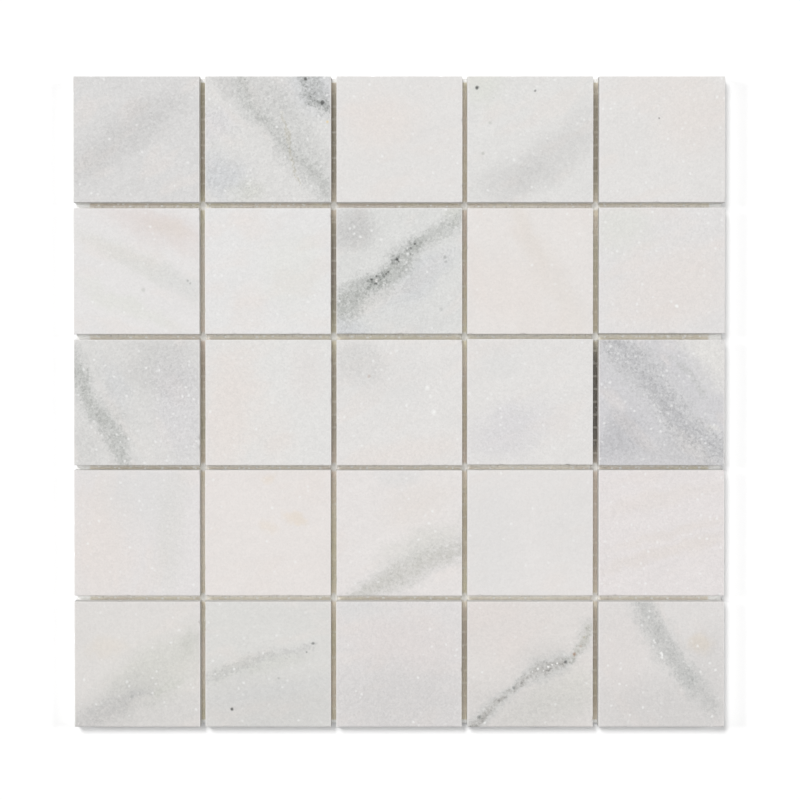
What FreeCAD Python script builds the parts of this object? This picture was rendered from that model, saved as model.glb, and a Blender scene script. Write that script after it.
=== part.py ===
# Mosaic tile sheet: five rows of five sawn marble squares, bonded face up to a
# woven glass-fibre net by a thin film of adhesive. Millimetres, +Z out of the finished
# face, origin under the middle of the sheet on the plane that it beds on.

import FreeCAD, Part
import math
import os
import random

# The marble squares
rows = 5
columns = 5
tile_side = 58.5
tile_thickness = 9.5
arris = 0.4  # eased edge round the polished face
joint = 2.5  # open joint between two squares

# The squares are laid by hand in a jig: how far one may lie off its place
lay_tolerance = 0.2
laying = random.Random(5)

# The film of adhesive that holds the squares on the net
film_thickness = 0.15
film_set_back = 6.0  # from the outer edges of the squares

# The net: flat weft threads along X, each held between the two yarns of every warp
net_set_back = 6.3
weft_pitch = 6.0
weft_width = 0.9
weft_thickness = 0.15
warp_pitch = 7.4
yarn_width = 0.75
yarn_thickness = 0.15
yarn_spacing = 1.0  # between the centre lines of a warp's two yarns
thread_edge = 0.05  # bevel along a thread's four edges

# Levels, from the bedding plane up
weft_level = yarn_thickness
over_level = weft_level + weft_thickness
film_level = over_level + yarn_thickness
tile_level = film_level + film_thickness

# Sizes that follow from them
tile_pitch = tile_side + joint
sheet_x = columns * tile_pitch - joint
sheet_y = rows * tile_pitch - joint
net_x = sheet_x - 2 * net_set_back
net_y = sheet_y - 2 * net_set_back


def lay(index, count):
    """How far a square lies off its place along one axis; the jig's fence holds the outer ones."""
    offset = laying.uniform(-lay_tolerance, lay_tolerance)
    return 0.0 if index in (0, count - 1) else offset


def tile(row, column):
    """One square with its face's four edges eased. Row 1 is at the back, column 1 at the left."""
    x = -sheet_x / 2 + column * tile_pitch + lay(column, columns)
    y = sheet_y / 2 - tile_side - row * tile_pitch + lay(row, rows)
    square = Part.makeBox(tile_side, tile_side, tile_thickness, FreeCAD.Vector(x, y, tile_level))
    face_height = tile_level + tile_thickness
    face_edges = [edge for edge in square.Edges if edge.BoundBox.ZMin > face_height - arris / 2]
    return square.makeChamfer(arris, face_edges)


def film():
    """The adhesive under all the squares, short of the sheet's edges."""
    width = sheet_x - 2 * film_set_back
    depth = sheet_y - 2 * film_set_back
    corner = FreeCAD.Vector(-width / 2, -depth / 2, film_level)
    return Part.makeBox(width, depth, film_thickness, corner)


def thread(width, thickness, length):
    """A flat thread along X with bevelled edges, its middle above the origin and its underside at zero."""
    half = width / 2
    flat = half - thread_edge
    low = thread_edge
    high = thickness - thread_edge
    profile = [(-flat, 0), (flat, 0), (half, low), (half, high)]
    profile += [(flat, thickness), (-flat, thickness), (-half, high), (-half, low)]
    points = [FreeCAD.Vector(-length / 2, y, z) for y, z in profile]
    outline = Part.makePolygon(points + points[:1])
    return Part.Face(outline).extrude(FreeCAD.Vector(length, 0, 0))


def places(span, width, pitch):
    """Centres of the threads that fit in a span, spread evenly about its middle."""
    count = math.floor((span - width) / pitch) + 1
    return [(index - (count - 1) / 2) * pitch for index in range(count)]


def weft():
    """Every thread that runs along X."""
    strand = thread(weft_width, weft_thickness, net_x)
    threads = [
        strand.translated(FreeCAD.Vector(0, y, weft_level))
        for y in places(net_y, weft_width, weft_pitch)
    ]
    return Part.makeCompound(threads)


def warp(side, level):
    """One yarn of every pair that runs along Y: side -1 is the left one, 1 the right one."""
    strand = thread(yarn_width, yarn_thickness, net_y)
    strand.rotate(FreeCAD.Vector(0, 0, 0), FreeCAD.Vector(0, 0, 1), 90)
    pair_width = yarn_spacing + yarn_width
    yarns = [
        strand.translated(FreeCAD.Vector(x + side * yarn_spacing / 2, 0, level))
        for x in places(net_x, pair_width, warp_pitch)
    ]
    return Part.makeCompound(yarns)


def export(shape, name):
    """Writes one node and says how big it is."""
    shape.exportStep(f"parts/{name}.step")
    box = shape.BoundBox
    print(f"{name}: {len(shape.Solids)} solids, z {box.ZMin:.2f} to {box.ZMax:.2f}")


os.makedirs("parts", exist_ok=True)
for row in range(rows):
    for column in range(columns):
        export(tile(row, column), f"tile_r{row + 1}_c{column + 1}")
export(film(), "adhesive_film")
export(weft(), "net_weft")
export(warp(-1, 0), "net_warp_under")
export(warp(1, over_level), "net_warp_over")
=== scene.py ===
import math
import random

import bmesh
import bpy
from mathutils import Matrix, Vector, noise


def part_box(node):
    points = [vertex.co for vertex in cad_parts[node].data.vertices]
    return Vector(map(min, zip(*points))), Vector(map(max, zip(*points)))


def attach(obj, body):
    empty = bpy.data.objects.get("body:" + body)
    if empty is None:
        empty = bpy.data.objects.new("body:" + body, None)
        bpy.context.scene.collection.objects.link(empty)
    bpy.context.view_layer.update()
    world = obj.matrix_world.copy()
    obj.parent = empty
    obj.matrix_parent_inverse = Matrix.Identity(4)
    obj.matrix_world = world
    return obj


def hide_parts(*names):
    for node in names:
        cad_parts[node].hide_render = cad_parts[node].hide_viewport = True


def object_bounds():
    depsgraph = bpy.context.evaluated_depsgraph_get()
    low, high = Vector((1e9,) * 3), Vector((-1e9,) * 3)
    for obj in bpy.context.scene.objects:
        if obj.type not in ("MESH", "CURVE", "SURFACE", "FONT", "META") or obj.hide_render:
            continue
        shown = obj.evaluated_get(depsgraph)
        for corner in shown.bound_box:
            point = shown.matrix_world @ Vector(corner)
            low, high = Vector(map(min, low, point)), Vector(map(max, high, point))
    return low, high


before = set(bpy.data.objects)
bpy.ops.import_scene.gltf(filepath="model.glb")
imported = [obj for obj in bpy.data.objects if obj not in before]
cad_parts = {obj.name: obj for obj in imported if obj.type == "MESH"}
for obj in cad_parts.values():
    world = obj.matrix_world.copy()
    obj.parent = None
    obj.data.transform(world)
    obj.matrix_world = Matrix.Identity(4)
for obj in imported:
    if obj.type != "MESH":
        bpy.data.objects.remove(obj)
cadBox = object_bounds()
sheetHigh = cadBox[1]
mm = 0.001
rows = columns = range(1, 6)  # row 1 is the back of the sheet, column 1 its left
boxes = {(row, column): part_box(f"tile_r{row}_c{column}") for row in rows for column in columns}
squarePitch = boxes[(1, 2)][0].x - boxes[(1, 1)][0].x
print("frame loaded")


# Shader bench: any node is made in one place, and sums on sockets are written as Python sums

class Wire:
    # one output socket of a node
    def __init__(self, bench, socket):
        self.bench = bench
        self.socket = socket

    def sum(self, operation, *values):
        return self.bench.node("ShaderNodeMath", {"operation": operation}, dict(enumerate(values)))

    def __add__(self, other):
        return self.sum("ADD", self, other)

    __radd__ = __add__

    def __sub__(self, other):
        return self.sum("SUBTRACT", self, other)

    def __rsub__(self, other):
        return self.sum("SUBTRACT", other, self)

    def __mul__(self, other):
        return self.sum("MULTIPLY", self, other)

    __rmul__ = __mul__

    def __truediv__(self, other):
        return self.sum("DIVIDE", self, other)

    def __abs__(self):
        return self.sum("ABSOLUTE", self)

    def also(self, output):
        # another output of the same node
        return Wire(self.bench, self.socket.node.outputs[output])

    def fract(self):
        return self.sum("FRACT", self)

    def floor(self):
        return self.sum("FLOOR", self)

    def most(self, other):
        return self.sum("MAXIMUM", self, other)

    def least(self, other):
        return self.sum("MINIMUM", self, other)


class Bench:
    # the node tree of a material, or of the world
    def __init__(self, owner):
        owner.use_nodes = True
        self.owner = owner
        self.tree = owner.node_tree
        self.tree.nodes.clear()

    def node(self, kind, settings=None, inputs=None, output=0):
        made = self.tree.nodes.new(kind)
        for name, value in (settings or {}).items():
            setattr(made, name, value)
        for name, value in (inputs or {}).items():
            if isinstance(value, Wire):
                self.tree.links.new(value.socket, made.inputs[name])
            else:
                made.inputs[name].default_value = value
        return Wire(self, made.outputs[output]) if made.outputs else made

    def placed(self, place, location=(0, 0, 0), turn=0.0, size=(1, 1, 1)):
        # coordinates measured from a point, along turned axes, in units of size
        inputs = {"Vector": place, "Location": location, "Rotation": (0, 0, turn), "Scale": size}
        return self.node("ShaderNodeMapping", {"vector_type": "TEXTURE"}, inputs)

    def millimetres(self, origin=(0, 0, 0)):
        place = self.node("ShaderNodeTexCoord", output="Object")
        return self.placed(place, origin, size=(mm, mm, mm))

    def vector(self, operation, *values, output=0):
        return self.node("ShaderNodeVectorMath", {"operation": operation}, dict(enumerate(values)), output)

    def split(self, place):
        first = self.node("ShaderNodeSeparateXYZ", None, {"Vector": place})
        return [Wire(self, socket) for socket in first.socket.node.outputs]

    def join(self, x, y, z):
        return self.node("ShaderNodeCombineXYZ", None, {"X": x, "Y": y, "Z": z})

    def noise(self, place, scale, detail=2.0, roughness=0.5, output="Fac"):
        inputs = {"Vector": place, "Scale": scale, "Detail": detail, "Roughness": roughness}
        return self.node("ShaderNodeTexNoise", None, inputs, output)

    def cells(self, place, scale, dimensions="3D"):
        settings = {"voronoi_dimensions": dimensions}
        return self.node("ShaderNodeTexVoronoi", settings, {"Vector": place, "Scale": scale}, "Color")

    def dice(self, value):
        # one random number for each whole value
        return self.node("ShaderNodeTexWhiteNoise", {"noise_dimensions": "1D"}, {"W": value}, "Value")

    def ramp(self, value, start, end, low=0.0, high=1.0, kind="SMOOTHSTEP"):
        # from low at start to high at end, and level beyond both
        inputs = {0: value, 1: start, 2: end, 3: low, 4: high}
        return self.node("ShaderNodeMapRange", {"interpolation_type": kind}, inputs)

    def fall(self, value, start, end):
        return self.ramp(value, start, end, 1.0, 0.0)

    def mix(self, factor, first, second):
        settings = {"data_type": "RGBA", "clamp_factor": True}
        return self.node("ShaderNodeMix", settings, {0: factor, 6: first, 7: second}, 2)

    def scaled(self, colour, factor):
        base = colour if isinstance(colour, Wire) else colour[:3]
        return self.node("ShaderNodeVectorMath", {"operation": "SCALE"}, {0: base, "Scale": factor})

    def warped(self, place, swirl, reach):
        # the place shifted by a noise colour, level only, so that a figure runs on down the sides
        centred = self.vector("SUBTRACT", swirl, (0.5, 0.5, 0.5))
        return self.vector("MULTIPLY_ADD", centred, (reach, reach, 0), place)

    def ellipse(self, place, x, y, across, along, turn=0.0, inner=0.0, outer=2.0):
        # 1 in the middle, 0 outside
        local = self.placed(place, (x, y, 0), math.radians(turn), (across, along, 1000))
        return self.fall(self.vector("LENGTH", local, output="Value"), inner, outer)

    def bump(self, height, strength, distance):
        inputs = {"Height": height, "Strength": strength, "Distance": distance}
        return self.node("ShaderNodeBump", None, inputs)

    def finish(self, **inputs):
        # a Principled surface; underscores stand for the spaces in a socket's name
        inputs = {name.replace("_", " "): value for name, value in inputs.items()}
        shader = self.node("ShaderNodeBsdfPrincipled", None, inputs)
        self.node("ShaderNodeOutputMaterial", None, {"Surface": shader})
        return self.owner

    def shownWhite(self, plain, white):
        # the plain surface for the light in the scene, the white one for the camera and in reflections
        path = [self.node("ShaderNodeLightPath", output=name)
                for name in ("Is Camera Ray", "Is Glossy Ray", "Is Transmission Ray")]
        seen = path[0].most(path[1]).most(path[2])
        return self.node("ShaderNodeMixShader", None, {0: seen, 1: plain, 2: white})


def paint(red, green, blue):
    # a colour as it shows on screen, 0 to 255, as a shader wants it
    def linear(level):
        share = level / 255
        return share / 12.92 if share <= 0.04045 else ((share + 0.055) / 1.055) ** 2.4

    return (linear(red), linear(green), linear(blue), 1.0)


def piece(name, shape, material, slot, *nodes):
    # a finished piece of the sheet, standing for its CAD nodes; only its large flat faces aren't smooth
    bmesh.ops.recalc_face_normals(shape, faces=shape.faces)
    for face in shape.faces:
        face.smooth = len(face.verts) == 4
    mesh = bpy.data.meshes.new(name)
    shape.to_mesh(mesh)
    shape.free()
    mesh.materials.append(material)
    made = bpy.data.objects.new(name, mesh)
    bpy.context.scene.collection.objects.link(made)
    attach(made, "root")
    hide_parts(*nodes)
    return made


def rectangle(shape, middle, half, height, cuts):
    # a closed outline in an empty shape, each side cut into short edges
    corners = [shape.verts.new((middle.x + half.x * sideX, middle.y + half.y * sideY, height))
               for sideX, sideY in ((-1, -1), (1, -1), (1, 1), (-1, 1))]
    outline = [shape.edges.new((corners[index], corners[(index + 1) % 4])) for index in range(4)]
    bmesh.ops.subdivide_edges(shape, edges=outline, cuts=cuts)
    return list(shape.edges)


# Marble squares

square = {
    "arris": 0.2 * mm,  # eased edge round the polished face
    "arrisSteps": 4,
    "edgeCuts": 95,  # along each side
    "flatRings": (0.25 * mm, 0.8 * mm),  # level rings inside the arris, which keep the chips off the face
    "sideRings": (0.7 * mm, 2.0 * mm, 9.0 * mm),  # below the face
    "wear": 0.05 * mm,  # unevenness of the sawn edge
    "wearLength": 0.9 * mm,
    "wearDrop": 0.6,  # how far the arris wears down for each step inwards
    "wornDepth": 1.5 * mm,  # below the face the sides are straight
    "chips": 7,  # small chips round a face
    "chipLength": (0.5 * mm, 1.3 * mm),
    "chipDepth": (0.08 * mm, 0.22 * mm),
    "roughness": 0.5,
    "specular": 0.28,
}

stone = {
    "bruise": paint(246, 245, 242),  # crushed crystals along the arris, with a painted highlight
    "sawn": paint(252, 251, 249),  # pale dust left on the sawn sides, and a painted glow of light through the stone
    "sparkle": paint(246, 246, 245),
    "swirl": (0.07, 3, 0.55),  # noises: scale, detail and roughness
    "fray": (0.36, 4, 0.62),
    "broad": (0.12, 4, 0.6),
    "patches": (0.32, 3, 0.6),
    "clumps": (0.75, 2, 0.5),
    "speckle": (1.1, 3, 0.7),
    "cloudShift": (12, 4),  # how far swirl and fray shift the clouds
    "veinShift": (4, 6),
    "speckShift": 1.2,
    "crystal": 0.95,  # crystals a millimetre
    "fineCrystal": 1.9,
    "glint": 0.34,
    "drift": 0.09,  # slow change of tone over a square
    "grain": 0.107,  # contrast of the crystals in white stone
    "greyGrain": 0.115,  # and what grey stone adds
    "arrisReach": (0.15, 0.6),  # mm from the side edges, over which the bruise and its painted highlight end
    "backReach": (0.15, 0.55),
    "sideReach": (-1.1, -0.2),  # mm below the face, where the saw marks fade in
    "kerf": (3.0, 3.0, 0.16),  # saw marks' size in mm
    "dustAndPaintedGlow": 0.95,
    "washed": 0.65,  # what weather takes off the dust round the sheet, and with it the painted glow
    "relief": 0.12 * mm,
}

# Tones of the stone, as they show on screen
tones = {
    "snow": (226, 224, 221), "blush": (230, 222, 217), "rose": (222, 213, 210), "pearl": (218, 218, 217),
    "tan": (220, 210, 199), "honey": (226, 204, 168), "leaf": (220, 222, 213), "olive": (206, 207, 199),
    "lilac": (211, 209, 213), "steel": (199, 202, 206), "haze": (198, 199, 197), "smoke": (203, 202, 200),
    "dusk": (190, 189, 188), "storm": (180, 180, 183), "moss": (176, 180, 171), "drab": (172, 171, 156),
    "ash": (160, 162, 160), "loam": (148, 152, 145), "umber": (126, 118, 107), "slate": (112, 116, 113),
    "char": (86, 90, 87), "ink": (56, 58, 56), "rust": (150, 112, 84), "straw": (232, 198, 96),
    "clay": (172, 165, 138), "white": (249, 249, 247),
}
tones = {name: paint(*shown) for name, shown in tones.items()}
greyTones = ("olive", "lilac", "steel", "haze", "smoke", "dusk", "storm", "moss", "drab", "ash", "loam")

# What each square shows, in millimetres from its middle, X right and Y back.
# cloud: x, y, half length, half width, turn, tone, strength
# vein: points of x, y and width, tone, strength, halo's reach in half widths and strength, ink strength
# speck: x, y, radius, tone, strength
squareLooks = {
    (1, 1): {"base": (217, 216, 215), "grain": 1.5, "sparkle": 0.5, "lay": 36,
        "clouds": [(-7, 1, 30, 9, 36, "dusk", 0.38), (13, 14, 12, 7, 36, "dusk", 0.12),
         (-22, -14, 10, 8, 0, "dusk", 0.12)]},
    (1, 2): {"base": (221, 220, 218), "grain": 1.7, "sparkle": 0.4, "lay": -52,
        "clouds": [(-19, 26, 8, 5, -50, "dusk", 0.4), (21, 23, 13, 10, -48, "steel", 0.6),
         (0, 22, 12, 8, -50, "dusk", 0.3), (12, 8, 20, 6, -52, "haze", 0.5), (-25, 8, 9, 8, 0, "lilac", 0.4),
         (-23, -17, 12, 10, 0, "steel", 0.6), (-9.5, -24, 8, 5, 0, "olive", 0.5)],
        "veins": [([(-13, 30, 5), (-9.5, 18, 5), (-0.3, 8, 5), (6, -1, 5), (13, -7, 7), (20, -14, 8),
          (29, -25, 8)], "loam", 0.25, 3.6, 0.6, 0.08),
         ([(6, 12.5, 1.2), (8.9, 2.7, 1.5), (12.4, -15.7, 1.1), (14.5, -21, 1.2)], "clay", 0.4, 0, 0, 0),
         ([(20, 30, 9), (23, 20, 10), (26, 15, 8)], "ash", 0.44, 2, 0.3, 0.22),
         ([(16, 30, 4), (17.5, 21, 3.4), (21, 17, 4), (27.5, 15, 5)], "slate", 0.46, 2, 0.3, 0.35)],
        "specks": [(17.4, 28, 0.9, "ink", 0.85), (25.2, 17, 1, "ink", 0.85), (27.6, 8, 0.6, "straw", 0.5)]},
    (1, 3): {"base": (227, 225, 223), "grain": 0.95, "sparkle": 0.35,
        "clouds": [(-8, 8, 16, 13, 0, "blush", 0.6)]},
    (1, 4): {"base": (225, 224, 222), "grain": 1.1, "sparkle": 0.45, "lay": 33,
        "clouds": [(-12, -19, 16, 9, 20, "dusk", 0.3), (10, -9, 21, 9.5, 38, "dusk", 0.33),
         (24, 8, 10, 9, 60, "dusk", 0.15), (-22, 24, 10, 9, 0, "leaf", 0.5)],
        "specks": [(-24.7, 23.9, 0.9, "ink", 0.9), (2.1, 22.5, 0.55, "ink", 0.6),
         (-18.6, 7.6, 0.8, "moss", 0.4), (-22, -6.5, 0.8, "moss", 0.5), (-17, 19, 0.5, "moss", 0.3)]},
    (1, 5): {"base": (227, 225, 223), "grain": 1, "sparkle": 0.7,
        "clouds": [(14, 10, 17, 16, 0, "blush", 0.5)],
        "specks": [(-1.4, 9.7, 0.45, "ink", 0.6)]},
    (2, 1): {"base": (229, 227, 226), "grain": 0.9, "sparkle": 0.4, "lay": -22,
        "clouds": [(12, 19, 20, 8, -18, "rose", 0.6), (12, 20, 10, 4, -15, "tan", 0.35),
         (-2, 25, 17, 5, -10, "rose", 0.35), (4, 2, 33, 5, -27, "olive", 0.35),
         (-4, -16, 25, 4, -24, "leaf", 0.4), (20, -6, 10, 6, -20, "pearl", 0.6)],
        "specks": [(3.2, -8.6, 1, "moss", 0.35), (23.7, -4.4, 0.6, "ash", 0.6), (25, -5.6, 0.5, "ash", 0.5)]},
    (2, 2): {"base": (229, 228, 227), "grain": 1, "sparkle": 0.4,
        "clouds": [(-9, 21, 10, 6, -20, "blush", 0.4), (-9, -14, 9, 9, 0, "blush", 0.35),
         (12, 0, 12, 18, 0, "leaf", 0.25)]},
    (2, 3): {"base": (220, 220, 218), "grain": 1.5, "sparkle": 0.35, "lay": 38,
        "clouds": [(-22, 19, 9, 10, -30, "dusk", 0.6), (9, -4, 20, 7, 38, "steel", 0.45),
         (-24, -27, 10, 5, 0, "steel", 0.5), (8, -20, 16, 8, 0, "pearl", 0.4),
         (26, 27, 5, 4, 40, "olive", 0.6)],
        "veins": [([(-31, -18, 15), (-24, -16, 15), (-18, -10, 14), (-11, -4.2, 9), (-5.6, -1.3, 5)], "loam",
          0.5, 2, 0.7, 0.05),
         ([(-12, -6, 8), (-5.6, -2.3, 9), (0, 1.9, 11), (4, 6, 9), (7.7, 11.2, 6), (10.5, 13.5, 4)], "loam",
          0.44, 2.6, 0.8, 0.05),
         ([(7.7, 11.2, 7), (12.7, 15, 7), (22.7, 21.2, 7), (29, 25, 6)], "loam", 0.3, 2.3, 0.45, 0),
         ([(-14, -6, 5), (-8.5, -2.5, 5.5)], "slate", 0.42, 0, 0, 0.3),
         ([(-2.4, 4, 3.5), (0.6, 6, 3)], "char", 0.35, 0, 0, 0.3),
         ([(3.6, 8.5, 2.5), (7.4, 12.4, 2.5)], "slate", 0.3, 0, 0, 0.2)],
        "specks": [(-1, 5.2, 0.8, "ink", 0.95), (-0.2, 4.3, 0.45, "ink", 0.7), (-2.1, 5, 0.4, "ink", 0.6),
         (-12.9, -4.2, 0.6, "ink", 0.85), (-10.8, -2.5, 0.6, "ink", 0.8), (-10.6, -6, 0.5, "ink", 0.7),
         (-5.2, -0.6, 0.55, "ink", 0.75), (-6.1, -1.6, 0.5, "ink", 0.75), (7.3, 12.5, 0.5, "ink", 0.8),
         (5.4, 10.4, 0.6, "ink", 0.6), (5.2, 7.9, 0.5, "char", 0.5), (21.2, 6.4, 0.8, "ash", 0.6),
         (21.6, 4.2, 0.7, "ash", 0.5), (19.5, -17.8, 0.9, "ash", 0.3), (-7.3, -6.7, 0.6, "white", 0.7),
         (-10.6, -4.4, 0.9, "snow", 0.8)]},
    (2, 4): {"base": (230, 226, 223), "grain": 0.8, "sparkle": 0.3, "lay": -68,
        "clouds": [(-2, 16, 22, 5, -68, "tan", 0.28), (15, -10, 24, 6, -65, "tan", 0.2),
         (-12, -8, 18, 14, 0, "blush", 0.45)]},
    (2, 5): {"base": (226, 224, 223), "grain": 1.1, "sparkle": 0.9,
        "clouds": [(6, -8, 27, 17, 20, "blush", 0.55), (-18, 20, 14, 10, 0, "leaf", 0.4)],
        "specks": [(7, -16.4, 0.9, "white", 0.8)]},
    (3, 1): {"base": (218, 217, 215), "grain": 1.5, "sparkle": 0.8, "lay": -63,
        "clouds": [(12, 15, 17, 12, -20, "dusk", 0.4), (-10, 8, 5, 12, 25, "steel", 0.3),
         (8, -20, 10, 10, 0, "snow", 0.4), (20, -4, 12, 22, 0, "lilac", 0.4),
         (-24, -20, 7, 9, 0, "smoke", 0.3)],
        "veins": [([(-31, 21, 7), (-26.5, 11.4, 9), (-23, 2, 7), (-19.5, -4, 10), (-14.7, -7.6, 9),
          (-12, -12.3, 9), (-8.5, -18, 9), (-6, -28, 6), (-5, -31, 5)], "loam", 0.36, 2.6, 0.6, 0.12)]},
    (3, 2): {"base": (227, 226, 224), "grain": 1.15, "sparkle": 0.5,
        "clouds": [(-19, -4, 12, 31, -8, "blush", 0.7), (2, -16, 9, 13, 0, "blush", 0.3),
         (18, 14, 9, 13, 0, "rose", 0.25)]},
    (3, 3): {"base": (227, 225, 223), "grain": 1.2, "sparkle": 0.5,
        "clouds": [(-19, 18, 12, 10, -20, "smoke", 0.5), (-8, 10, 18, 13, 0, "pearl", 0.35),
         (6, -24, 23, 7, 8, "blush", 0.5)],
        "specks": [(-14, 12.3, 0.8, "rust", 0.3), (13, 6.6, 1.1, "white", 0.6), (16, -4.4, 1.2, "white", 0.7),
         (14.5, 3, 0.8, "white", 0.5)]},
    (3, 4): {"base": (227, 225, 223), "grain": 1.05, "sparkle": 0.5,
        "clouds": [(-12, -15, 17, 11, 10, "lilac", 0.5), (4, -6, 13, 9, 0, "lilac", 0.2),
         (-14, 18, 9, 8, 0, "pearl", 0.4)]},
    (3, 5): {"base": (209, 208, 210), "grain": 1.9, "sparkle": 1, "lay": -45,
        "clouds": [(25, 22, 18, 11, -48, "snow", 1), (-19, -17, 12, 9, 20, "storm", 0.5),
         (24, -12.3, 3.4, 1.2, 15, "snow", 0.8), (8, -24, 20, 7, 0, "dusk", 0.3)],
        "veins": [([(-24, 29, 13), (-12, 19, 13), (0, 4, 12), (7, -9, 14), (20, -17, 12), (31, -24, 10)],
          "storm", 0.6, 2.4, 0.4, 0),
         ([(4, 21, 3), (12, 14, 3.5), (20, 4, 3.5)], "moss", 0.25, 0, 0, 0)]},
    (4, 1): {"base": (227, 224, 223), "grain": 1, "sparkle": 0.6, "lay": 88,
        "clouds": [(-16, -6, 15, 29, 0, "blush", 0.6), (15, 2, 6, 29, -4, "olive", 0.25),
         (0, 18, 17, 15, 0, "pearl", 0.45)]},
    (4, 2): {"base": (231, 226, 223), "grain": 0.8, "sparkle": 0.3,
        "clouds": [(13, 6.6, 4, 2.4, -20, "honey", 0.25), (1, 4, 4, 3, 0, "honey", 0.16),
         (1, 26, 3, 2, 0, "honey", 0.2)]},
    (4, 3): {"base": (230, 226, 224), "grain": 0.95, "sparkle": 0.4, "lay": 25,
        "clouds": [(8, 14, 17, 9, 20, "tan", 0.2), (0, 27, 9, 5, 0, "pearl", 0.5),
         (12, -4, 20, 6, 25, "olive", 0.4)],
        "veins": [([(-21, -31, 7), (-8, -22.5, 10), (3, -18, 11), (12, -12, 11), (21, -10, 10), (31, -6, 9)],
          "drab", 0.3, 2.4, 0.45, 0.06)]},
    (4, 4): {"base": (229, 226, 224), "grain": 0.7, "sparkle": 0.25,
        "clouds": [(18, 6, 15, 22, 0, "pearl", 0.25), (-18, -4, 14, 28, 0, "pearl", 0.35)]},
    (4, 5): {"base": (229, 224, 223), "grain": 1.2, "sparkle": 0.8, "lay": 15,
        "clouds": [(0, -10, 31, 3, 15, "tan", 0.28), (6, 0, 29, 2.5, 15, "tan", 0.22),
         (0, 16, 29, 4, 12, "tan", 0.18)]},
    # In the front row, the wide dusk cloud low on each square is painted shade: the squares darker towards
    # the front edge.
    (5, 1): {"base": (223, 220, 217), "grain": 0.9, "sparkle": 0.35, "lay": 25,
        "clouds": [(10, -4, 27, 12, 28, "olive", 0.55), (18, -24, 20, 9, 10, "smoke", 0.4),
         (-15, 7, 7, 5, 0, "honey", 0.12), (24, 10, 4, 7, -20, "moss", 0.25),
         (-14, -22, 26, 9, 28, "dusk", 0.45)],
        "veins": [([(-31, -31, 10), (-16, -24, 9), (-2, -15, 5), (6, -13, 3)], "dusk", 0.5, 2.4, 0.2, 0),
         ([(9, -13, 3), (16, -10, 5), (21, -8, 3)], "olive", 0.6, 0, 0, 0)],
        "specks": [(-2.4, -15, 0.8, "ash", 0.6)]},
    (5, 2): {"base": (220, 219, 216), "grain": 0.95, "sparkle": 0.3, "lay": 12,
        "clouds": [(0, -13, 30, 4, 10, "pearl", 0.5), (0, -20, 40, 16, 0, "dusk", 0.3),
         (-6, -1, 24, 3, 14, "olive", 0.4)],
        "veins": [([(-31, -6.5, 6), (-16.5, -3, 6.5), (-1, 3.5, 6.5), (12, 6.5, 5.5), (21, 9, 3.5)], "dusk",
          0.42, 2.4, 0.15, 0.03)],
        "specks": [(20.9, 9.6, 0.7, "slate", 0.8), (17.8, 5.5, 0.5, "slate", 0.6),
         (4.9, -6.5, 0.6, "ash", 0.5), (-16.8, -21, 0.75, "ink", 0.9)]},
    (5, 3): {"base": (223, 220, 219), "grain": 1.2, "sparkle": 0.4,
        "clouds": [(2, 10, 25, 12, -10, "rose", 0.4), (0, -18, 34, 17, 0, "dusk", 0.32),
         (-18, 26, 15, 5, 0, "pearl", 0.5)]},
    (5, 4): {"base": (224, 220, 217), "grain": 1, "sparkle": 0.3, "lay": 38,
        "clouds": [(12, -16, 23, 10, 25, "olive", 0.4), (-14, 16, 20, 13, 0, "rose", 0.3),
         (-8, -22, 34, 14, 0, "dusk", 0.3), (8, 2, 16, 8, 10, "dusk", 0.2)],
        "veins": [([(-29, -31, 4.5), (-18, -20, 3.6), (-7, -11, 2), (-1.5, -5, 3.5), (5, -3, 6), (15, 1, 5),
          (18, 2.5, 3)], "umber", 0.36, 3.6, 0.7, 0.35),
         ([(18, 2.5, 3), (21, 4, 3.4), (25, 10, 4.4), (27.5, 17, 4.4)], "drab", 0.4, 3, 0.5, 0.2)],
        "specks": [(3.5, -2.2, 0.6, "white", 0.8), (6.2, -3, 0.5, "white", 0.7),
         (8.4, -1.2, 0.55, "white", 0.8), (10.3, -0.2, 0.5, "white", 0.7), (12.6, 0.4, 0.5, "white", 0.8),
         (1.2, -3.6, 0.5, "white", 0.6), (23.6, 8.4, 0.6, "rust", 0.35), (25.2, 12.6, 0.6, "clay", 0.5),
         (-7.6, -11, 0.8, "slate", 0.7), (20.6, 4.6, 0.8, "rust", 0.7), (16.6, 1, 0.8, "ink", 0.75),
         (-23.6, -24.6, 0.9, "slate", 0.7)]},
    (5, 5): {"base": (223, 220, 218), "grain": 1.05, "sparkle": 0.6, "lay": -58,
        "clouds": [(19.2, 9.7, 4.6, 4.6, 0, "honey", 0.28), (-18, 4, 12, 22, 0, "rose", 0.25),
         (4, -22, 36, 14, 0, "dusk", 0.32), (22, 2, 9, 14, 0, "dusk", 0.25)],
        "veins": [([(-9, 31, 8), (-6, 23, 9), (-1, 14, 9.5), (4, 6.5, 11), (8.5, -1, 9), (13.5, -7, 8)],
          "ash", 0.35, 2.6, 0.6, 0.1),
         ([(13.5, -7, 9), (18, -13, 9), (24, -20, 8)], "ash", 0.2, 2.6, 0.35, 0)],
        "specks": [(0, 5.2, 0.7, "white", 0.9), (0.5, 4.2, 0.6, "white", 0.9), (0.2, 3.2, 0.6, "white", 0.8),
         (-3.4, 11.1, 0.6, "white", 0.7), (-2.9, 10.2, 0.5, "white", 0.6), (18.3, -3.6, 0.6, "white", 0.6)]},
}


def veinDistance(bench, place, points):
    # how far each place is from a vein's line, in half widths of the vein there
    nearest = None
    for start, end in zip(points, points[1:]):
        chord = Vector(end[:2]) - Vector(start[:2])
        local = bench.placed(place, (start[0], start[1], 0), math.atan2(chord.y, chord.x))
        along, across = bench.split(local)[:2]
        past = along - bench.ramp(along, 0, chord.length, 0, chord.length, "LINEAR")
        halfWidth = bench.ramp(along, 0, chord.length, start[2] / 2, end[2] / 2)
        distance = bench.vector("LENGTH", bench.join(past, across, 0.0), output="Value") / halfWidth
        nearest = distance if nearest is None else nearest.least(distance)
    return nearest


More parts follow.
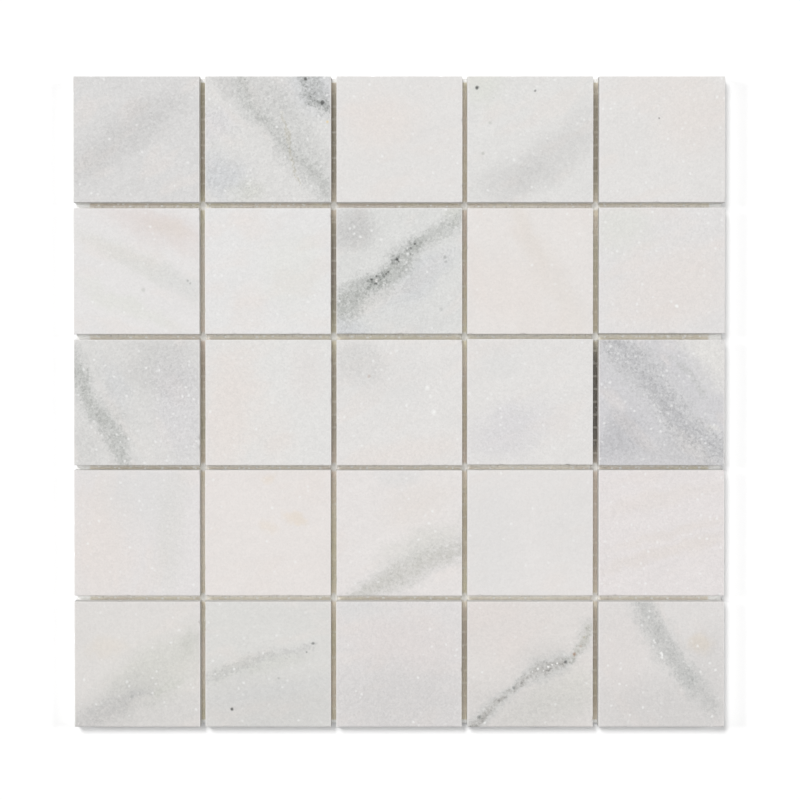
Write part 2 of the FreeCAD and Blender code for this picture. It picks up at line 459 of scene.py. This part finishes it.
def marble(name, centre, half, look, seed):
    # places are in millimetres from the middle of the face; the seed cuts no two squares from the same stone
    bench = Bench(bpy.data.materials.new(name))
    place = bench.millimetres(centre)
    cutting = random.Random(seed)
    origin = [cutting.uniform(-400, 400) for axis in range(3)]
    block = bench.placed(place, origin, cutting.uniform(0, math.tau))
    layers = bench.placed(place, origin, math.radians(look.get("lay", 20)), (2.4, 1, 1))
    swirl = bench.noise(block, *stone["swirl"], "Color")
    fray = bench.noise(block, *stone["fray"], "Color")

    def shifted(reaches):
        return bench.warped(bench.warped(place, swirl, reaches[0]), fray, reaches[1])

    cloudy = shifted(stone["cloudShift"])
    veiny = shifted(stone["veinShift"])
    ragged = bench.warped(place, fray, stone["speckShift"])
    broad = bench.noise(layers, *stone["broad"]) - 0.5
    patches = bench.noise(block, *stone["patches"]) - 0.5
    clumps = bench.noise(block, *stone["clumps"]) - 0.5
    speckle = bench.noise(block, *stone["speckle"]) - 0.5
    coarse = bench.split(bench.cells(bench.warped(block, fray, 0.9), stone["crystal"]))
    fine = bench.split(bench.cells(block, stone["fineCrystal"]))
    grain = (coarse[0] - 0.5) * 0.5 + (fine[0] - 0.5) * 0.3 + speckle * 1.5  # about -0.5 to 0.5

    # ground and clouds
    colour = bench.scaled(paint(*look["base"]), 1 + broad * stone["drift"])
    hue = bench.split(bench.noise(layers, 0.09, 2, 0.5, "Color"))[1]
    colour = bench.mix(bench.ramp(hue, 0.52, 0.68) * 0.3, colour, tones["blush"])
    greyness = 0.0
    for x, y, across, along, turn, tone, strength in look.get("clouds", []):
        share = bench.ellipse(cloudy, x, y, across, along, turn)
        share = bench.ramp(share + (broad + patches * 0.4) * 0.6, 0.05, 1.0) * strength
        colour = bench.mix(share, colour, tones[tone])
        if tone in greyTones:
            greyness = share + greyness

    # veins, which swell and thin along their way, with a haze beside them and ink in their cracks
    mottling = patches * 1.3 + clumps * 0.65 + grain * 0.35
    uneven = patches * 1.5 + broad * 1.6
    for points, tone, strength, haloReach, haloStrength, inkStrength in look.get("veins", []):
        distance = veinDistance(bench, veiny, points) * (uneven + 1.0)
        near = bench.fall(distance, 1.4, 2.9)
        body = bench.fall(distance, 0.0, 2.0) * 0.88
        if haloStrength:
            halo = bench.fall(distance, 0.0, haloReach)
            blotches = patches * 0.7 + broad * 0.5 + grain * 0.15
            wash = bench.ramp(halo + blotches * halo, 0.0, 1.0) * haloStrength
            colour = bench.mix(wash, colour, tones["haze"])
            greyness = wash + greyness
        broken = bench.ramp(body + mottling * near, 0.22, 1.15) * strength
        colour = bench.mix(broken, colour, tones[tone])
        greyness = broken + greyness
        if inkStrength:
            spots = bench.ramp(body + (clumps * 2.4 + grain * 0.7) * near, 1.0, 1.45) * inkStrength
            colour = bench.mix(spots, colour, tones["ink"])
    for x, y, radius, tone, strength in look.get("specks", []):
        share = bench.ellipse(ragged, x, y, radius, radius, inner=0.3, outer=1.5)
        colour = bench.mix(share * strength, colour, tones[tone])

    # the sugary grain, stronger where the stone is grey
    depth = (greyness * stone["greyGrain"] + stone["grain"]) * look["grain"]
    colour = bench.scaled(colour, 1 - grain * depth)

    # painted glints: single crystals painted bright, as though they catch the light
    crystal = bench.cells(bench.warped(block, fray, 1.5), stone["glint"])
    chance = bench.split(crystal)[1]
    flash = bench.fall(crystal.also("Distance"), 0.03, 0.34)
    flash = flash * bench.ramp(chance + greyness * 0.08, 1 - 0.75 * look["sparkle"], 1.05)
    colour = bench.mix(flash * 0.7, colour, stone["sparkle"])

    # the bruised arris with its painted highlight, and the sawn sides, whose dust and painted glow are washed
    # off round the outside of the sheet
    x, y, depthBelow = bench.split(place)
    # painted highlight: the arris is painted paler at the left, right and back edges, along with its crushed
    # crystals
    beside = bench.fall(half - abs(x), *stone["arrisReach"])
    behind = bench.fall(half - y, *stone["backReach"]) * 0.6
    bruise = beside.most(behind) * (0.7 + 0.8 * patches)
    colour = bench.mix(bruise, colour, stone["bruise"])
    side = bench.fall(depthBelow, *stone["sideReach"])
    kerf = bench.noise(bench.placed(place, origin, 0, stone["kerf"]), 1.0, 3, 0.65)
    # the sides are painted paler: pale dust, and a painted glow standing in for light through the stone
    dustAndPaintedGlow = side * stone["dustAndPaintedGlow"]
    if max(abs(centre[0]), abs(centre[1])) + half * mm > sheetHigh.x - mm:
        sheetX, sheetY = bench.split(bench.millimetres())[:2]
        edge = sheetHigh.x / mm
        outer = bench.ramp(abs(sheetX).most(abs(sheetY)), edge - 0.9, edge - 0.4)
        dustAndPaintedGlow = dustAndPaintedGlow * (1 - stone["washed"] * outer)
    colour = bench.mix(dustAndPaintedGlow, colour, stone["sawn"])
    colour = bench.scaled(colour, 1 - side * (kerf * 0.2 - 0.08))

    relief = (fine[1] * 0.05 + speckle * 0.12) * (1 - side) + kerf * side
    roughness = square["roughness"] + 0.12 * speckle + side * 0.25
    return bench.finish(
        Base_Color=colour, Roughness=roughness, Specular_IOR_Level=square["specular"],
        Normal=bench.bump(relief, 0.35, stone["relief"]))


def squareShape(low, high, seed):
    # a sawn square: outline, rounded arris, level rings and face, then its sides and bed
    shape = bmesh.new()
    centre = (low + high) / 2
    half = (high - low) / 2
    arris = square["arris"]
    outline = rectangle(shape, centre, half, high.z - arris, square["edgeCuts"])
    insets = {point: 0.0 for point in shape.verts}

    def nextRing(ring, inset, height):
        # a ring grown from another, at its own inset from the outline and its own height
        grown = bmesh.ops.extrude_edge_only(shape, edges=ring)["geom"]
        lost = insets[ring[0].verts[0]]
        for point in [item for item in grown if isinstance(item, bmesh.types.BMVert)]:
            away = point.co - centre
            scaleX = (half.x - inset) / (half.x - lost)
            scaleY = (half.y - inset) / (half.y - lost)
            point.co = Vector((centre.x + away.x * scaleX, centre.y + away.y * scaleY, height))
            insets[point] = inset
        return [item for item in grown if isinstance(item, bmesh.types.BMEdge)]

    ring = outline
    for step in range(1, square["arrisSteps"] + 1):
        angle = math.pi / 2 * step / square["arrisSteps"]
        ring = nextRing(ring, arris * (1 - math.cos(angle)), high.z - arris + arris * math.sin(angle))
    for inset in square["flatRings"]:
        ring = nextRing(ring, arris + inset, high.z)
    bmesh.ops.contextual_create(shape, geom=ring)
    ring = outline
    for depth in square["sideRings"]:
        ring = nextRing(ring, 0.0, high.z - depth)
    ring = nextRing(ring, 0.0, low.z)
    bmesh.ops.contextual_create(shape, geom=ring)

    # wear and chips: the rim is pushed in and down, never the flat face
    wearing = random.Random(seed)
    chips = []
    for chip in range(square["chips"]):
        side = wearing.randrange(4)
        offset = wearing.uniform(-1, 1)
        spot = [(offset, -1), (1, offset), (offset, 1), (-1, offset)][side]
        chips.append((Vector((centre.x + half.x * spot[0], centre.y + half.y * spot[1], high.z)),
                      wearing.uniform(*square["chipLength"]), wearing.uniform(*square["chipDepth"])))
    for point, inset in insets.items():
        if inset > arris * 1.2 or point.co.z < high.z - square["wornDepth"]:
            continue
        uneven = noise.noise(point.co / square["wearLength"] + Vector((seed, 0, 0)))
        bruise = square["wear"] * (0.5 + uneven)
        for spot, length, depth in chips:
            gap = (point.co - spot).length / length
            if gap < 1:
                bruise += depth * (1 - gap * gap)
        away = point.co - centre
        inwardX = -math.copysign(1, away.x) if abs(away.x) / half.x > 0.985 else 0
        inwardY = -math.copysign(1, away.y) if abs(away.y) / half.y > 0.985 else 0
        down = -square["wearDrop"] if point.co.z > high.z - arris * 0.9 else 0
        point.co += Vector((inwardX, inwardY, down)) * max(bruise, 0)
    return shape


for (row, column), (low, high) in boxes.items():
    place = f"r{row}_c{column}"
    seed = row * 10 + column
    faceMiddle = ((low.x + high.x) / 2, (low.y + high.y) / 2, high.z)
    half = (high.x - low.x) / 2 / mm
    material = marble(f"marble_{place}", faceMiddle, half, squareLooks[(row, column)], seed)
    made = piece(f"square_{place}", squareShape(low, high, seed), material, "marble", f"tile_{place}")
    made.data.set_sharp_from_angle(angle=math.radians(50))
print("marble squares made")


# Adhesive: the film under the squares, and the resin that stands in the joints

resin = {
    "step": 0.55 * mm,  # of the mesh along a joint
    "across": 8,  # faces across a joint
    "overlap": 0.3 * mm,  # under the squares' walls
    "rise": 0.05 * mm,  # over the film, in the middle of a joint
    "creep": 0.55 * mm,  # up the walls
    "creepReach": 0.28 * mm,
    "creepLength": 2.1 * mm,  # between its high and low places
    "drape": 0.11 * mm,  # over a thread
    "weftRidge": 0.5 * mm,
    "warpRidge": 0.8 * mm,
    "lumps": 0.06 * mm,
    "lumpLength": 1.1 * mm,
    "least": 0.02 * mm,  # that a strip stands over the film, or over the film's underside
    "fray": 0.5 * mm,  # raggedness of the film's outer edge
    "frayLength": 1.7 * mm,
    "squeezed": 5.8 * mm,  # how far the resin in a joint runs on past the film
    "laneEnd": 144.8,  # mm from the sheet's middle: where the joints left to right turn pale
    "wayEnd": 149.2,  # and those back to front
    "markWidth": 3,  # of the marks listed below, from their middle
    "frayZone": 6 * mm,
    "edgeCuts": 240,
    "body": paint(236, 226, 208),
    "thin": paint(231, 226, 214),  # over a thread, where it is thinnest
    "thick": paint(214, 203, 180),
    "bead": paint(244, 243, 239),  # drops that dried white over a crossing
    "paintedLaneLight": paint(246, 244, 239),  # painted light in the joints left to right
    "olive": paint(218, 213, 184),  # where it has yellowed
    "pinkish": paint(222, 206, 196),
    "paintedCrossingLight": paint(240, 239, 235),  # painted light where two joints cross
    "end": paint(250, 250, 248),  # squeezed out at the ends of the joints, and painted light from their open ends
    "shadeAndDirt": paint(150, 140, 120),  # painted shade along the walls and beside the warps, and darker places in the channels
    "brown": paint(166, 157, 140),
    "peat": paint(100, 94, 84),
    "pale": paint(255, 248, 234),
    "fleck": paint(252, 251, 248),  # splashes that dried white
    "roughness": 0.42,
    "specular": 0.35,
}

filmLow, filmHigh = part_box("adhesive_film")
weftLow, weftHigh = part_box("net_weft")
overLow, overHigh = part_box("net_warp_over")
underLow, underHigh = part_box("net_warp_under")


def threadPlaces(nodeName, axis):
    # middles of a net layer's threads, read from the CAD node, where a thread's own points are close together
    levels = sorted({round(vertex.co[axis], 6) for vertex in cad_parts[nodeName].data.vertices})
    groups = []
    for level in levels:
        if groups and level - groups[-1][0] < 2 * mm:
            groups[-1].append(level)
        else:
            groups.append([level])
    return [(group[0] + group[-1]) / 2 for group in groups]


wefts = threadPlaces("net_weft", 1)
underYarns = threadPlaces("net_warp_under", 0)
overYarns = threadPlaces("net_warp_over", 0)
warps = [(under + over) / 2 for under, over in zip(underYarns, overYarns)]
weftPitch = (wefts[-1] - wefts[0]) / (len(wefts) - 1)
warpPitch = (warps[-1] - warps[0]) / (len(warps) - 1)


def frayed(along, edge):
    # how far the film falls short at a place along one of its edges
    return resin["fray"] * (0.6 + 0.9 * noise.noise(Vector((along / resin["frayLength"], edge * 7.3, 0.5))))


def pulledIn(x, y, beyond=0.0):
    # a point of the film, or of the resin beyond it, drawn in where it nears the ragged edge
    def pull(value, limit, lost):
        share = max(abs(value) - limit + resin["frayZone"], 0) / resin["frayZone"]
        return math.copysign(abs(value) - lost * share, value)

    ragged = 0.25 if beyond else 1.0
    newX = pull(x, filmHigh.x + beyond, ragged * frayed(y, 1 if x > 0 else 2))
    newY = pull(y, filmHigh.y + beyond, ragged * frayed(x, 3 if y > 0 else 4))
    return newX, newY


def wallGap(x, y):
    # distance to the nearest square's wall, level
    return min(math.hypot(max(low.x - x, x - high.x, 0), max(low.y - y, y - high.y, 0))
               for low, high in boxes.values())


def ridge(value, places, pitch, width):
    # 1 over a thread, falling to 0 half a pitch away
    index = min(max(round((value - places[0]) / pitch), 0), len(places) - 1)
    return math.exp(-((value - places[index]) / width) ** 2)


def resinHeight(x, y):
    def uneven(length, level):
        return noise.noise(Vector((x / length, y / length, level)))

    creep = resin["creep"] * (0.75 + 0.9 * uneven(resin["creepLength"], 3.0))
    edge = min(1, (filmHigh.x + resin["squeezed"] - max(abs(x), abs(y))) / resin["frayZone"])
    height = resin["rise"] + max(creep, 0) * math.exp(-wallGap(x, y) / resin["creepReach"]) * edge
    height += resin["drape"] * ridge(y, wefts, weftPitch, resin["weftRidge"])
    height += resin["drape"] * 0.8 * ridge(x, warps, warpPitch, resin["warpRidge"])
    height += resin["lumps"] * (0.5 + uneven(resin["lumpLength"], 8.0))
    return filmHigh.z + max(height, resin["least"])


def resinStrip(shape, low, high, stepsX, stepsY):
    # a slab of resin on the film: a grid draped over the threads, closed down to the film
    middle = Vector(((low[0] + high[0]) / 2, (low[1] + high[1]) / 2, 0))
    size = Matrix.Diagonal(((high[0] - low[0]) / 2, (high[1] - low[1]) / 2, 1, 1))
    made = bmesh.ops.create_grid(shape, x_segments=stepsX, y_segments=stepsY, size=1,
                                 matrix=Matrix.Translation(middle) @ size)
    top = set(made["verts"])
    faces = {face for vertex in top for face in vertex.link_faces}
    grown = bmesh.ops.extrude_face_region(shape, geom=list(faces), use_keep_orig=True)["geom"]
    lifted = {item for item in grown if isinstance(item, bmesh.types.BMVert)}
    for vertex in top | lifted:
        x, y = pulledIn(vertex.co.x, vertex.co.y, resin["squeezed"])
        vertex.co = (x, y, resinHeight(x, y) if vertex in lifted else filmLow.z + resin["least"])


def adhesiveShape():
    # the film, and a strip of resin along each joint: long ones back to front, short ones between them
    shape = bmesh.new()
    outline = rectangle(shape, Vector((0, 0)), filmHigh, filmLow.z, resin["edgeCuts"])
    for vertex in shape.verts:
        vertex.co.x, vertex.co.y = pulledIn(vertex.co.x, vertex.co.y)
    bed = bmesh.ops.contextual_create(shape, geom=outline)["faces"]
    grown = bmesh.ops.extrude_face_region(shape, geom=bed, use_keep_orig=True)["geom"]
    lifted = [item for item in grown if isinstance(item, bmesh.types.BMVert)]
    bmesh.ops.translate(shape, verts=lifted, vec=(0, 0, filmHigh.z - filmLow.z))

    overlap = resin["overlap"]
    ways = [(boxes[(1, column)][1].x, boxes[(1, column + 1)][0].x) for column in columns[:-1]]
    lanes = [(boxes[(row + 1, 1)][1].y, boxes[(row, 1)][0].y) for row in rows[:-1]]
    endX = filmHigh.x + resin["squeezed"]
    endY = filmHigh.y + resin["squeezed"]
    longSteps = round(2 * endY / resin["step"])
    for left, right in ways:
        resinStrip(shape, (left - overlap, -endY), (right + overlap, endY), resin["across"], longSteps)
    stops = [-endX] + [edge for left, right in ways for edge in (left - overlap, right + overlap)] + [endX]
    for front, back in lanes:
        for start, end in zip(stops[::2], stops[1::2]):
            steps = round((end - start) / resin["step"])
            resinStrip(shape, (start, front - overlap), (end, back + overlap), steps, resin["across"])
    return shape


# Where the resin lies darker or lighter: x, y and reach along the joint in millimetres, shade, strength.
# Ways are the joints that run back to front, lanes those that run left to right.
jointMarks = {
    "ways": [
        (-91.5, 122, 34, "brown", 0.7), (-91.5, 61, 30, "thin", 0.6), (-91.5, 0, 30, "brown", 0.5),
        (-91.5, -61, 30, "pale", 0.5), (-91.5, -122, 30, "thin", 0.35), (-30.5, 122, 30, "brown", 1.0),
        (-30.5, 61, 30, "peat", 0.55), (-30.5, 0, 28, "brown", 0.6), (-30.5, -122, 30, "thick", 0.3),
        (30.5, -122, 30, "brown", 0.6), (30.5, 122, 30, "thick", 0.3), (91.5, 122, 30, "brown", 0.95),
        (91.5, 61, 28, "brown", 0.5), (91.5, 0, 34, "peat", 1.0), (91.5, -61, 30, "brown", 0.3),
        (91.5, -122, 32, "brown", 0.6)],
    # the pale marks in the lanes are painted light
    "lanes": [
        (-60, 91.5, 26, "pale", 0.3), (60, 91.5, 30, "pale", 0.5), (122, 91.5, 30, "pale", 1.0),
        (-122, 30.5, 30, "pale", 0.35), (-60, 30.5, 30, "pale", 0.4), (60, 30.5, 30, "pale", 0.95),
        (122, 30.5, 30, "thick", 0.3), (-60, -30.5, 30, "pale", 0.7), (0, -30.5, 30, "pale", 0.55),
        (60, -30.5, 30, "pale", 0.85), (122, -30.5, 30, "pale", 0.25), (-122, -91.5, 30, "pale", 0.25),
        (-60, -91.5, 30, "pale", 0.65), (0, -91.5, 30, "pale", 0.2), (60, -91.5, 30, "pale", 0.8),
        (122, -91.5, 30, "pale", 0.4)],
}


def resinMaterial():
    bench = Bench(bpy.data.materials.new("resin"))
    place = bench.millimetres()
    x, y = bench.split(place)[:2]
    pitch = squarePitch / mm
    lanePlace = ((y / pitch).fract() - 0.5) * pitch
    fromWay = abs(((x / pitch).fract() - 0.5) * pitch)
    fromLane = abs(lanePlace)
    warpPlace = (x - warps[0] / mm) / (warpPitch / mm) + 0.5
    weftPlace = (y - wefts[0] / mm) / (weftPitch / mm) + 0.5
    fromWarp = abs(warpPlace.fract() - 0.5) * (warpPitch / mm)
    fromWeft = abs(weftPlace.fract() - 0.5) * (weftPitch / mm)
    wander = (bench.noise(place, 0.35, 2, 0.5) - 0.5) * 1.2

    # tones that change slowly along the joints, and the mark of each joint
    thickness = bench.ramp(bench.noise(place, 0.045, 3, 0.6), 0.35, 0.65)
    colour = bench.mix(thickness, resin["body"], resin["thick"])
    turnOfTone = bench.split(bench.noise(place, 0.035, 2, 0.5, "Color"))[1]
    colour = bench.mix(bench.ramp(turnOfTone, 0.5, 0.38) * 0.6, colour, resin["olive"])
    colour = bench.mix(bench.ramp(turnOfTone, 0.5, 0.62) * 0.6, colour, resin["pinkish"])
    for kind, marks in jointMarks.items():
        for markX, markY, reach, shade, strength in marks:
            size = (resin["markWidth"], reach) if kind == "ways" else (reach, resin["markWidth"])
            share = bench.ellipse(place, markX, markY, *size, inner=0.5, outer=1.2)
            colour = bench.mix(share * strength, colour, resin[shade])

    # painted light in the lanes: paler resin, and a pale channel nearer their front edge at the back of the
    # sheet
    lane = bench.ramp(fromWay, 1.5, 2.5) * bench.fall(fromLane, 1.4, 2.2)
    paintedLaneLight = bench.ramp(lanePlace * bench.ramp(y, 10, 70, 1.0, -1.0) + wander, -0.35, 0.4) * lane
    colour = bench.mix(lane * 0.35, colour, resin["thin"])
    colour = bench.mix(paintedLaneLight * bench.ramp(y, 30, 90, 0.8, 0.45), colour, resin["paintedLaneLight"])

    # thin over the threads, with a bead on some crossings and, in the lanes, a drop on each warp off centre
    overWeft = bench.fall(fromWeft, 0.3, 0.75)
    overWarp = bench.fall(fromWarp, 0.5, 1.2)
    thin = overWeft.most(overWarp) * (0.1 + 0.4 * bench.noise(place, 0.5, 2, 0.5))
    colour = bench.mix(thin, colour, resin["thin"])
    luck = bench.dice(warpPlace.floor() + weftPlace.floor() * 57)
    bead = overWeft * overWarp * bench.ramp(luck, 0.35, 0.75) * bench.ramp(fromWay.most(fromLane), 2.6, 4.6)
    colour = bench.mix(bead * 0.35, colour, resin["bead"])
    lot = bench.dice(warpPlace.floor() + (y / pitch).floor() * 83)
    across = bench.fall(abs(lanePlace + (lot - 0.5) * 1.2 + wander * 0.3), 0.15, 0.55)
    along = bench.fall(fromWarp + wander * 0.5, 0.25, 0.8)
    drop = across * along * bench.ramp(lot, 0.05, 0.4) * lane * bench.ramp(fromWay, 2.6, 4.6)
    colour = bench.mix(drop * 0.9, colour, resin["fleck"])
    # painted shadow: a short dark mark beside each warp in the lanes' pale channel
    paintedWarpShadow = bench.fall(abs(fromWarp - 1.7), 0.15, 0.6) * paintedLaneLight * bench.ramp(luck, 0.35, 0.8)
    colour = bench.mix(paintedWarpShadow * 0.22, colour, resin["shadeAndDirt"])

    # painted light where two joints cross, splashes, and painted shade along the walls
    crossing = bench.vector("LENGTH", bench.join(fromWay, fromLane, 0.0), output="Value")
    colour = bench.mix(bench.fall(crossing, 1.2, 2.8) * 0.9, colour, resin["paintedCrossingLight"])
    spatter = bench.warped(place, bench.noise(place, 0.8, 2, 0.5, "Color"), 0.9)
    splash = bench.cells(spatter, 0.42, "2D")
    chance = bench.split(splash)[1]
    fleck = bench.fall(splash.also("Distance"), 0.12, 0.3) * bench.ramp(chance, 0.72, 0.9)
    colour = bench.mix(fleck * (lane * 0.65 + 0.2), colour, resin["fleck"])
    dark = bench.ramp(splash.also("Distance"), 0.35, 0.5) * bench.ramp(chance, 0.5, 0.2) * paintedLaneLight
    colour = bench.mix(dark * 0.12, colour, resin["shadeAndDirt"])
    fromJoint = fromWay.least(fromLane)
    # painted shade in the resin along the walls of each joint
    paintedWallShade = bench.ramp(fromJoint + wander * 0.2, 0.85, 1.25) * bench.fall(fromJoint, 1.6, 2.6)
    colour = bench.mix(paintedWallShade * 0.3, colour, resin["shadeAndDirt"])

    # squeezed out pale at the ends, with painted light from the joints' open ends
    laneEnd = bench.ramp(abs(x) + wander, resin["laneEnd"] - 0.6, resin["laneEnd"] + 0.6)
    wayEnd = bench.ramp(abs(y) + wander * 0.4, resin["wayEnd"] - 0.3, resin["wayEnd"] + 0.3)
    colour = bench.mix(laneEnd.most(wayEnd) * 0.95, colour, resin["end"])
    mottle = bench.noise(place, 0.9, 4, 0.65)
    colour = bench.scaled(colour, 0.82 + 0.36 * mottle)
    return bench.finish(
        Base_Color=colour, Roughness=resin["roughness"] + 0.2 * (mottle - 0.5),
        Specular_IOR_Level=resin["specular"], Normal=bench.bump(mottle, 0.3, 0.1 * mm))


piece("adhesive", adhesiveShape(), resinMaterial(), "adhesive", "adhesive_film")
print("adhesive made")


# Net: flat wefts, each held between the two yarns of every warp, which change sides from one weft to the next

net = {
    "sides": 8,  # faces round a thread
    "stepsPerPitch": 4,  # segments between two crossings
    "sway": 0.16 * mm,  # a weft's wander
    "swayLength": 23 * mm,
    "swell": 0.12,  # a yarn is pressed wider where it crosses
    "pinch": 0.12,  # and squeezes the weft
    "pinchWidth": 0.9 * mm,
    "glass": paint(214, 209, 194),
    "coated": paint(190, 178, 152),
    "shadow": paint(160, 150, 128),
    "roughness": 0.55,
    "specular": 0.4,
}


def threads(places, axis, low, high, pitch, follow):
    # one layer: rods laid along an axis and cut into segments, then each cross section flattened and moved
    shape = bmesh.new()
    length = high[axis] - low[axis]
    thickness = high.z - low.z
    middleHeight = (low.z + high.z) / 2
    segments = max(1, round(length / pitch * net["stepsPerPitch"]))
    turn = Matrix.Rotation(math.pi / 2, 4, "Y" if axis == 0 else "X")
    spacing = (places[-1] - places[0]) / (len(places) - 1)
    radius = spacing / 4  # so that the place nearest to a point is its own thread's
    for across in places:
        middle = Vector((0, across, 0) if axis == 0 else (across, 0, 0))
        bmesh.ops.create_cone(shape, cap_ends=True, segments=net["sides"], radius1=radius, radius2=radius,
                              depth=length, matrix=Matrix.Translation(middle) @ turn)
    runs = [edge for edge in shape.edges if abs(edge.verts[0].co[axis] - edge.verts[1].co[axis]) > length / 2]
    bmesh.ops.subdivide_edges(shape, edges=runs, cuts=segments - 1, use_grid_fill=True)
    sideways = 1 - axis
    for vertex in shape.verts:
        index = round((vertex.co[sideways] - places[0]) / spacing)
        across = (vertex.co[sideways] - places[index]) / radius
        aside, lift, halfWidth = follow(vertex.co[axis], index)
        vertex.co[sideways] = places[index] + aside + across * halfWidth
        vertex.co.z = middleHeight + lift + vertex.co.z / radius * thickness / 2
    return shape


def weftFollow(width):
    def follow(along, index):
        aside = net["sway"] * noise.noise(Vector((along / net["swayLength"], index * 3.1, 0)))
        pinch = 1 - net["pinch"] * ridge(along, warps, warpPitch, net["pinchWidth"])
        return aside, 0.0, width / 2 * pinch
    return follow


def warpFollow(width, spacing, side, dip):
    def follow(along, index):
        phase = (along - wefts[0]) / weftPitch * math.pi
        aside = side * spacing / 2 * (math.cos(phase) - 1)  # to the other side and back
        lift = dip * math.sin(phase) ** 2
        swell = 1 + net["swell"] * math.cos(2 * phase)
        return aside, lift, width / 2 * swell
    return follow


def glassMaterial(name, axis):
    bench = Bench(bpy.data.materials.new(name))
    place = bench.millimetres()
    stretch = (9.0, 0.12, 0.12) if axis == 0 else (0.12, 9.0, 0.12)
    fibres = bench.noise(bench.placed(place, size=stretch), 1.0, 2, 0.6)
    coat = bench.ramp(bench.noise(place, 0.16, 3, 0.6), 0.35, 0.7)
    colour = bench.mix(coat * 0.7, net["glass"], net["coated"])
    colour = bench.mix(bench.ramp(fibres, 0.55, 0.75) * 0.5, colour, net["shadow"])
    return bench.finish(
        Base_Color=colour, Roughness=net["roughness"] + 0.2 * (fibres - 0.5) - 0.15 * coat,
        Specular_IOR_Level=net["specular"], Normal=bench.bump(fibres, 0.5, 0.05 * mm))


weftWidth = 2 * (weftHigh.y - wefts[-1])
yarnWidth = 2 * (overHigh.x - overYarns[-1])
yarnSpacing = overYarns[0] - underYarns[0]
dip = (weftHigh.z - weftLow.z) / 2  # how far a yarn leans into the wefts' layer between them
wefting = threads(wefts, 0, weftLow, weftHigh, warpPitch, weftFollow(weftWidth))
overWay = warpFollow(yarnWidth, yarnSpacing, 1, -dip)
overWarping = threads(overYarns, 1, overLow, overHigh, weftPitch, overWay)
underWay = warpFollow(yarnWidth, yarnSpacing, -1, dip)
underWarping = threads(underYarns, 1, underLow, underHigh, weftPitch, underWay)
piece("net_wefts", wefting, glassMaterial("glass_weft", 0), "glass_fibre", "net_weft")
piece("net_over_yarns", overWarping, glassMaterial("glass_over", 1), "glass_fibre", "net_warp_over")
piece("net_under_yarns", underWarping, glassMaterial("glass_under", 1), "glass_fibre", "net_warp_under")
print("net made")


# Floor, light and camera

shot = {
    "height": 1.2,  # above the polished face
    "lean": 0.0228,  # the camera stands this far back of the sheet's middle
    "pictureWidth": 0.3718,  # what the picture spans at the face
    "aim": (0.00035, 0.00104),
}

light = {
    "key": {"toward": (-0.27, 0.42, 1.0), "share": 0.42, "spread": 16.0},
    "overhead": {"toward": (0.0, 0.0, 1.0), "share": 0.25, "spread": 20.0},
    "leftFill": {"toward": (-1.0, 0.18, 0.8), "share": 0.11, "spread": 10.0},
    "rightFill": {"toward": (1.0, 0.18, 0.8), "share": 0.105, "spread": 10.0},
    "sky": 0.06,
    "floor": 0.6,
    "floorSeen": 1.1,  # the floor's whiteness for the camera, so that it shows white
}


def makeFloor():
    bench = Bench(bpy.data.materials.new("studio_floor"))
    plain, white = [bench.node("ShaderNodeBsdfDiffuse", None, {"Color": (light[key],) * 3 + (1.0,)})
                    for key in ("floor", "floorSeen")]
    bench.node("ShaderNodeOutputMaterial", None, {"Surface": bench.shownWhite(plain, white)})
    shape = bmesh.new()
    bmesh.ops.create_grid(shape, x_segments=1, y_segments=1, size=3.0)
    mesh = bpy.data.meshes.new("floor")
    shape.to_mesh(mesh)
    shape.free()
    mesh.materials.append(bench.owner)
    floor = bpy.data.objects.new("floor", mesh)
    bpy.context.scene.collection.objects.link(floor)


def makeLamp(name, values):
    lamp = bpy.data.lights.new(name, "SUN")
    toward = Vector(values["toward"]).normalized()
    lamp.energy = math.pi * values["share"] / toward.z
    lamp.angle = math.radians(values["spread"])
    made = bpy.data.objects.new(name, lamp)
    made.rotation_euler = toward.to_track_quat("Z", "Y").to_euler()
    bpy.context.scene.collection.objects.link(made)


def makeSky():
    world = bpy.data.worlds.new("studio")
    bpy.context.scene.world = world
    bench = Bench(world)
    dim, white = [bench.node("ShaderNodeBackground", None, {"Color": (1, 1, 1, 1), "Strength": strength})
                  for strength in (light["sky"], 1.0)]
    bench.node("ShaderNodeOutputWorld", None, {"Surface": bench.shownWhite(dim, white)})


def makeCamera():
    data = bpy.data.cameras.new("camera")
    distance = math.hypot(shot["height"], shot["lean"])
    data.lens = data.sensor_width * distance / shot["pictureWidth"]
    camera = bpy.data.objects.new("camera", data)
    aimX, aimY = shot["aim"]
    camera.location = (aimX, aimY + shot["lean"], sheetHigh.z + shot["height"])
    camera.rotation_euler = (-math.atan2(shot["lean"], shot["height"]), 0, 0)
    bpy.context.scene.collection.objects.link(camera)
    bpy.context.scene.camera = camera


makeFloor()
for name in ("key", "overhead", "leftFill", "rightFill"):
    makeLamp(name, light[name])
makeSky()
makeCamera()
bpy.context.scene.view_settings.view_transform = "Standard"
print("floor, light and camera set")
